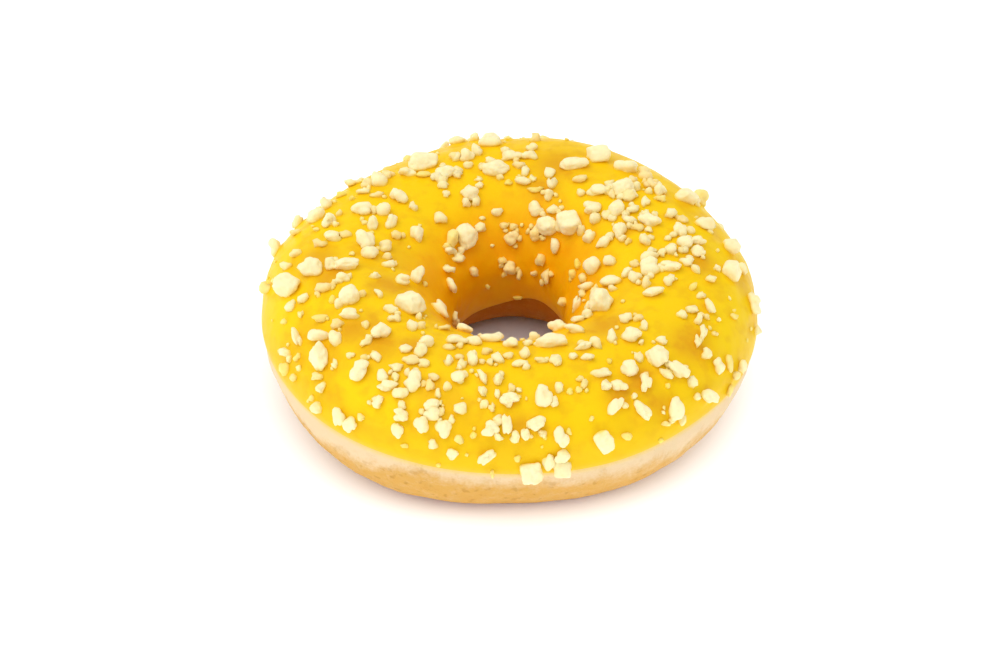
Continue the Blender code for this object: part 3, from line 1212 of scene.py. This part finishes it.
        (545, 437, 0.9, 1.1), (628, 437, 2.1, 1.4), (662, 440, 0.9, 0.9), (667, 386, 0.9, 1.1),
        (729, 391, 1.1, 2.0))}


@dataclass(frozen=True)
class CrumbKind:
    """Crumbs of one range of widths, which share how finely and how loosely they are made."""

    name: str
    widest: float
    detail: int
    loose: float


KINDS = (CrumbKind("crumb_specks", 1.0 * MM, 1, 0.6), CrumbKind("crumb_bits", 2.4 * MM, 2, 0.65),
         CrumbKind("crumb_nuggets", 3.6 * MM, 3, 0.6), CrumbKind("crumb_lumps", 99 * MM, 4, 0.28))


class Strewing(NamedTuple):
    """A lot of unmarked crumbs: where, how many, and their widths in metres.

    Widths are the middle one times e to the spread x a normal draw, kept within limits.
    """

    unseen: bool
    count: int
    middle: float
    spread: float
    limits: tuple[float, float]


class Crumbs(NamedTuple):
    """Crumbs as arrays with one row each.

    Feet are places on the icing and outs its normals there. Sizes are the three full widths along
    each crumb's own axes, tones are pairs of tan and coat, and lifts are the centres' heights.
    """

    feet: Array
    outs: Array
    sizes: Array
    axes: Array
    tones: Array
    lifts: Array

    def with_more(self, more: "Crumbs") -> "Crumbs":
        """These crumbs, and more after them."""
        return Crumbs(*(np.concatenate(pair) for pair in zip(self, more)))

    def only(self, chosen: Array) -> "Crumbs":
        """The chosen ones of these crumbs."""
        return Crumbs(*(rows[chosen] for rows in self))


@dataclass
class CrumbBed:
    """All the crumbs on the icing, first as places and sizes and then as shapes."""

    form: RingForm
    icing: Icing
    viewpoint: Viewpoint
    finish: CrumbFinish
    seed: int = 7
    sunk: float = 0.26
    swollen: float = 0.95
    swollen_aside: float = 0.34
    depths: tuple[float, float] = (0.75, 1.1)
    first_lift: float = 0.3
    facing_limit: float = 0.02
    small_limits: tuple[float, float] = (1.2 * MM, 3.4 * MM)
    small_tones: tuple[float, float] = (0.2, 0.3)
    depth_cost: float = 60.0
    companions: int = 180
    companion_shares: tuple[float, float] = (0.35, 0.65)
    companion_tones: tuple[float, float] = (0.5, 0.2)
    crowd_radius: float = 7 * MM
    front_share: float = 0.3
    strewings: tuple[Strewing, ...] = (
        Strewing(True, 260, 2.05 * MM, 0.42, (0.8 * MM, 4.6 * MM)),
        Strewing(False, 60, 0.8 * MM, 0.2, (0.55 * MM, 1.1 * MM)),
        Strewing(True, 120, 0.7 * MM, 0.25, (0.45 * MM, 1.1 * MM)))
    tries: int = 3
    clusters: SmoothField = SmoothField(31, 9 * MM)
    hole_reach: float = 17 * MM
    apart_share: float = 0.45
    round_radius: float = 14.8 * MM
    standing: float = 0.25
    facets: int = 3
    lobes: int = 7
    sharpness: int = 10
    joint: int = 8
    roughness: float = 0.13
    coarse: SmoothField = SmoothField(41, 0.42)
    fine: SmoothField = SmoothField(42, 0.2)

    def lay(self) -> None:
        """Places the marked crumbs, then the rest, on the icing's outer face."""
        self.random = np.random.default_rng(self.seed)
        self.ground, self.ground_out = self.icing.surface()
        self.facing = self.ground_out @ self.viewpoint.axes()[2]
        marks = [(Mark(*row), tone) for tone, rows in MARKS.items() for row in rows]
        marked = self.lay_marked(marks)
        marked = marked.with_more(self.lay_companions(marked))
        self.laid = marked.with_more(self.strew(marked))
        self.widths = self.laid.sizes.mean(axis=1)
        self.square = np.zeros(len(self.widths), bool)
        self.square[:len(marks)] = [mark.square for mark, _ in marks]

    def lift(self, sizes: Array, axes: Array, outs: Array) -> Array:
        """Height of each centre over the icing: the reach along the normal, less what is sunk.

        The reach is the length of the half widths' shares along the normal, as in an ellipsoid.

        Args:
            sizes: Full widths.
            axes: The crumbs' axes.
            outs: The icing's normals.

        Returns:
            One height for each crumb.
        """
        along = np.einsum("nij,nj->ni", axes, outs)
        reach = np.linalg.norm(along * sizes / 2, axis=1)
        return reach * (1 - 2 * self.sunk)

    def lay_marked(self, marks: list[tuple[Mark, Tone]]) -> Crumbs:
        """Puts each marked crumb on the place of the icing that shows at its mark.

        A crumb's axes are the camera's, turned by its tilt, so that it shows at its marked width
        and height. Its foot is the vertex of the icing that, once raised by the crumb's lift,
        comes nearest to the mark, with a small cost for lying farther from the camera.

        Args:
            marks: The marks with their tones.

        Returns:
            The crumbs.
        """
        right, up, back = self.viewpoint.axes()
        tilt = np.radians([mark.tilt for mark, _ in marks])[:, None]
        across = np.cos(tilt) * right + np.sin(tilt) * up
        axes = np.stack((across, np.cross(back, across), np.broadcast_to(back, across.shape)), axis=1)
        seen = MM * np.array([(mark.width, mark.height) for mark, _ in marks])
        deep = seen.mean(axis=1) * self.random.uniform(*self.depths, len(seen))
        marked = np.column_stack((seen, deep))
        places = np.array([(mark.column, mark.row) for mark, _ in marks], float)
        lifts = self.first_lift * marked.mean(axis=1)
        for _ in range(2):
            feet = np.array([self.nearest(place, lift) for place, lift in zip(places, lifts)])
            level = 1 - self.ground_out[feet] @ back
            sizes = marked * (self.swollen + self.swollen_aside * level[:, None])
            lifts = self.lift(sizes, axes, self.ground_out[feet])
        tones = np.array([tone.value for _, tone in marks])
        small = 1 - smooth(sizes.mean(axis=1), *self.small_limits)
        tones = tones + small[:, None] * self.random.uniform(0, self.small_tones, tones.shape)
        return Crumbs(self.ground[feet], self.ground_out[feet], sizes, axes, tones, lifts)

    def nearest(self, place: Array, lift: float) -> int:
        """Number of the ground's vertex that shows nearest to a place once raised by a lift.

        Args:
            place: Column and row in the camera's frame.
            lift: Height over the ground.

        Returns:
            The number, of a vertex that faces the camera.
        """
        seen, away = self.viewpoint.project(self.ground + lift * self.ground_out, self.form.shift)
        cost = np.sum((seen - place) ** 2, axis=1) + self.depth_cost * away
        return int(np.argmin(np.where(self.facing > self.facing_limit, cost, np.inf)))

    def lay_companions(self, marked: Crumbs) -> Crumbs:
        """Lays a smaller crumb against each of many marked crumbs, so that they look broken off.

        A companion's centre is drawn round its neighbour's foot, at about the sum of their half
        widths, and moved to the nearest vertex of the icing. Wide neighbours in a crowd are
        likelier, and those at the front or near the outline are less so.

        Args:
            marked: The marked crumbs.

        Returns:
            The companions.
        """
        feet, outs, sizes, _, tones, _ = marked
        widths = sizes.mean(axis=1)
        apart = np.linalg.norm(feet[:, None] - feet[None], axis=2)
        crowd = np.sum(apart < self.crowd_radius, axis=1)
        odds = np.clip(widths - 1.2 * MM, 0, 1.5 * MM) * smooth(crowd, 4, 14)
        odds = odds * np.where(feet[:, 1] > 0, 1.0, self.front_share)
        odds = odds * smooth(outs @ self.viewpoint.axes()[2], 0.15, 0.35)
        chosen = self.random.choice(len(feet), self.companions, p=odds / odds.sum())
        share = self.random.uniform(*self.companion_shares, self.companions)
        width = widths[chosen] * share
        aside = unit(np.cross(outs[chosen], self.random.standard_normal((self.companions, 3))))
        places = feet[chosen] + aside * (0.42 * (widths[chosen] + width))[:, None]
        number = np.array([np.argmin(np.sum((self.ground - place) ** 2, axis=1))
                           for place in places])
        normals = self.ground_out[number]
        axes = self.random_axes(normals)
        new_sizes = width[:, None] * self.random.uniform(0.8, 1.2, (self.companions, 3))
        change = self.companion_tones * self.random.uniform(0, 1, (self.companions, 2))
        lifts = self.lift(new_sizes, axes, normals)
        return Crumbs(self.ground[number], normals, new_sizes, axes, tones[chosen] + change, lifts)

    def ground_odds(self) -> Array:
        """How likely an unmarked crumb is at each vertex of the ground.

        It grows with the distance from the axis, as the vertices' spacing does, and with a broad
        noise. It is low near the lips, on ground that faces down and in the hole.

        Returns:
            A value of 0 or more for each vertex.
        """
        inside = self.icing.inside[self.icing.front]
        radius = np.hypot(*(self.ground - self.form.shift)[:, :2].T)
        cluster = self.clusters.at(self.ground)
        upward = self.ground_out[:, 2]
        weight = radius * smooth(inside, 1.2 * MM, 5 * MM) * (0.65 + 0.5 * cluster)
        weight *= 0.12 + 0.88 * smooth(upward, -0.25, 0.45)
        weight[(radius < self.hole_reach) & (upward < 0.5)] *= 0.25
        return np.maximum(weight, 0)

    def strew(self, marked: Crumbs) -> Crumbs:
        """Strews unmarked crumbs: all sizes where the camera doesn't look, fine ones elsewhere.

        Places are tried in random order and kept if they are clear of the crumbs that lie there
        and don't show over the outline.

        Args:
            marked: The crumbs that lie there already.

        Returns:
            The strewn crumbs.
        """
        weight = self.ground_odds()
        chosen = []
        spots, spot_widths = list(marked.feet), list(marked.sizes.mean(axis=1))
        for unseen, count, middle, spread, limits in self.strewings:
            here = self.facing < 0.0 if unseen else self.facing > 0.15
            odds = np.where(here, weight, 0)
            tried = self.tries * count
            tries = self.random.choice(len(odds), tried, replace=False, p=odds / odds.sum())
            widths = middle * np.exp(spread * self.random.standard_normal(tried))
            kept = 0
            for ground, width in zip(tries, np.clip(widths, *limits)):
                apart = np.linalg.norm(np.array(spots) - self.ground[ground], axis=1)
                shown = 0 > self.facing[ground] > self.horizon(width)
                if kept < count and not shown and np.all(
                        apart > self.apart_share * (np.array(spot_widths) + width)):
                    spots.append(self.ground[ground])
                    spot_widths.append(width)
                    chosen.append((ground, width))
                    kept += 1
        number = np.array([ground for ground, _ in chosen])
        width = np.array([width for _, width in chosen])
        outs = self.ground_out[number]
        axes = self.random_axes(outs)
        sizes = width[:, None] * self.random.uniform((0.95, 0.75, 0.6), (1.3, 1.05, 0.95),
                                                     (len(width), 3))
        draw = self.random.uniform(size=len(width)) + 0.6 * (width < 1.1 * MM)
        tones = np.where((draw < 0.2)[:, None], Tone.TAN.value,
                         np.where((draw > 0.85)[:, None], Tone.COATED.value, Tone.CREAM.value))
        lifts = self.lift(sizes, axes, outs)
        return Crumbs(self.ground[number], outs, sizes, axes, tones, lifts)

    def horizon(self, width: float) -> float:
        """Cosine to the camera below which a crumb on the round section stays behind the outline.

        A ball of the section's radius hides a crumb that stands a share of its width high if the
        sine of the angle between the normal and the camera is less than radius / (radius + height).
        """
        sine = self.round_radius / (self.round_radius + self.standing * width)
        return -math.sqrt(1 - sine * sine)

    def random_axes(self, outs: Array) -> Array:
        """Three square axes for each crumb, turned at random, the third near the normal.

        Args:
            outs: Normals.

        Returns:
            Three unit vectors for each normal.
        """
        third = unit(outs + 0.35 * self.random.standard_normal(outs.shape))
        first = unit(np.cross(third, self.random.standard_normal(outs.shape)))
        return np.stack((first, np.cross(third, first), third), axis=1)

    def cut_radius(self, directions: Array, square: Array) -> Array:
        """How far a block's six sides and a few chips let each crumb reach.

        It is the soft minimum, by a high power, of the cuts' distances divided by the cosine of
        the direction to them.

        Args:
            directions: Unit directions of the vertices from the centre.
            square: For each crumb, whether it is a block along its axes.

        Returns:
            An array of crumbs x vertices.
        """
        count = len(square)
        block = self.random_axes(self.random.standard_normal((count, 3)))
        block[square] = np.eye(3)
        chips = unit(self.random.standard_normal((count, self.facets, 3)))
        facing = np.concatenate((block, -block, chips), axis=1)
        gap = self.random.uniform(0.5, 0.8, (count, 1, facing.shape[1]))
        gap = gap + self.random.uniform(0.0, 0.3, (count, 1, 1))
        gap[square] = np.where(np.arange(facing.shape[1]) < 6, 0.74, 0.86)
        cosine = np.maximum(np.einsum("vi,nfi->nvf", directions, facing), 0)
        return np.sum((cosine / gap) ** self.sharpness, axis=2) ** (-1 / self.sharpness)

    def clump_radius(self, directions: Array, square: Array, loose: float) -> Array:
        """How far a clump of overlapping balls reaches from its centre.

        A ball reaches the centre's share along the direction, plus the root of its radius squared
        less the centre's distance from the direction squared. The farthest ball counts.

        Args:
            directions: Unit directions of the vertices from the centre.
            square: For each crumb, whether it is a block, which its clump leaves whole.
            loose: How far the farthest ball's centre lies from the clump's.

        Returns:
            An array of crumbs x vertices.
        """
        count = len(square)
        ball = unit(self.random.standard_normal((count, self.lobes, 3)))
        ball *= self.random.uniform(0.4, 1.0, (count, self.lobes, 1)) * loose
        size = (1 - loose) * self.random.uniform(0.85, 1.4, (count, 1, self.lobes))
        towards = np.einsum("vi,nbi->nvb", directions, ball)
        off = np.sum(ball ** 2, axis=2)[:, None, :] - towards ** 2
        reach = np.where(off < size ** 2, towards + np.sqrt(np.maximum(size ** 2 - off, 0.0)), 0.0)
        return np.maximum(np.max(reach, axis=2), np.where(square, 1.3, 0.38)[:, None])

    def shapes(self, directions: Array, square: Array, loose: float) -> Array:
        """Crumb shapes about their centres, each spanning from -1 to 1 along its three axes.

        The radius in a direction is the soft minimum of the clump's and the cuts', roughened by
        two noises.

        Args:
            directions: Unit directions of the vertices from the centre.
            square: For each crumb, whether it is a block along its axes.
            loose: How far the farthest ball's centre lies from the clump's.

        Returns:
            An array of crumbs x vertices x 3.
        """
        cut = self.cut_radius(directions, square)
        clump = self.clump_radius(directions, square, loose)
        radius = (cut ** -self.joint + clump ** -self.joint) ** (-1 / self.joint)
        points = directions * radius[:, :, None]
        offset = 0.7 * np.arange(len(square))[:, None, None]
        flat = (points + offset).reshape(-1, 3)
        rough = self.coarse.at(flat) + 0.5 * self.fine.at(flat)
        points = points * (1 + self.roughness * rough.reshape(radius.shape))[:, :, None]
        low, high = points.min(axis=1, keepdims=True), points.max(axis=1, keepdims=True)
        return (2 * points - low - high) / (high - low)

    def build_kind(self, kind: CrumbKind, narrowest: float) -> bpy.types.Object:
        """Makes all crumbs of one kind as one piece.

        Args:
            kind: The kind.
            narrowest: The width above which crumbs belong to it.

        Returns:
            The piece.
        """
        sphere = bmesh.new()
        bmesh.ops.create_icosphere(sphere, subdivisions=kind.detail, radius=1.0)
        directions = unit(np.array([vertex.co for vertex in sphere.verts]))
        corners = np.array([[vertex.index for vertex in face.verts] for face in sphere.faces])
        sphere.free()
        chosen = (self.widths > narrowest) & (self.widths <= kind.widest)
        mine = self.laid.only(chosen)
        shapes = self.shapes(directions, self.square[chosen], kind.loose)
        body = np.einsum("nvi,nij->nvj", shapes * mine.sizes[:, None, :] / 2, mine.axes)
        centre = mine.feet + mine.lifts[:, None] * mine.outs
        points = body + centre[:, None, :]
        above = np.sum((points - mine.feet[:, None, :]) * mine.outs[:, None, :], axis=2)
        foot = 0.85 * (1 - smooth(above, 0.10 * MM, 0.75 * MM))
        coat = np.maximum(foot, mine.tones[:, 1:2])
        tan = np.broadcast_to(mine.tones[:, 0:1], coat.shape)
        first = len(directions) * np.arange(len(mine.feet))
        faces = (corners[None] + first[:, None, None]).reshape(-1, 3)
        piece = make_piece(kind.name, points.reshape(-1, 3), faces, {"tan": tan, "coat": coat})
        piece.data.materials.append(self.material)
        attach(piece, BODY)
        return piece

    def build(self) -> list[bpy.types.Object]:
        """Makes every kind, each in a piece of its own.

        Returns:
            The pieces.
        """
        self.material = self.finish.material()
        limits = [0.0, *(kind.widest for kind in KINDS)]
        return [self.build_kind(kind, low) for kind, low in zip(KINDS, limits)]


# --------------------------------------------------------------------------- the whole

def report(piece: bpy.types.Object) -> None:
    """Logs a piece's name and size."""
    log.info("%s: %d vertices, %d faces", piece.name, len(piece.data.vertices),
             len(piece.data.polygons))


def main() -> None:
    """Builds the doughnut's pieces in order, and the studio round them."""
    logging.basicConfig(level=logging.INFO, format="%(name)s %(message)s")
    form = RingForm()
    form.settle(*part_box("icing_shell"))
    viewpoint = Viewpoint()
    Studio(viewpoint).build(form.shift)
    dough = Dough(form, DoughFinish())
    report(dough.build())
    icing = Icing(form, dough, IcingFinish())
    icing.settle()
    crumbs = CrumbBed(form, icing, viewpoint, CrumbFinish())
    crumbs.lay()
    report(icing.build(crumbs, viewpoint))
    for piece in crumbs.build():
        report(piece)


if __name__ == "__main__":
    main()
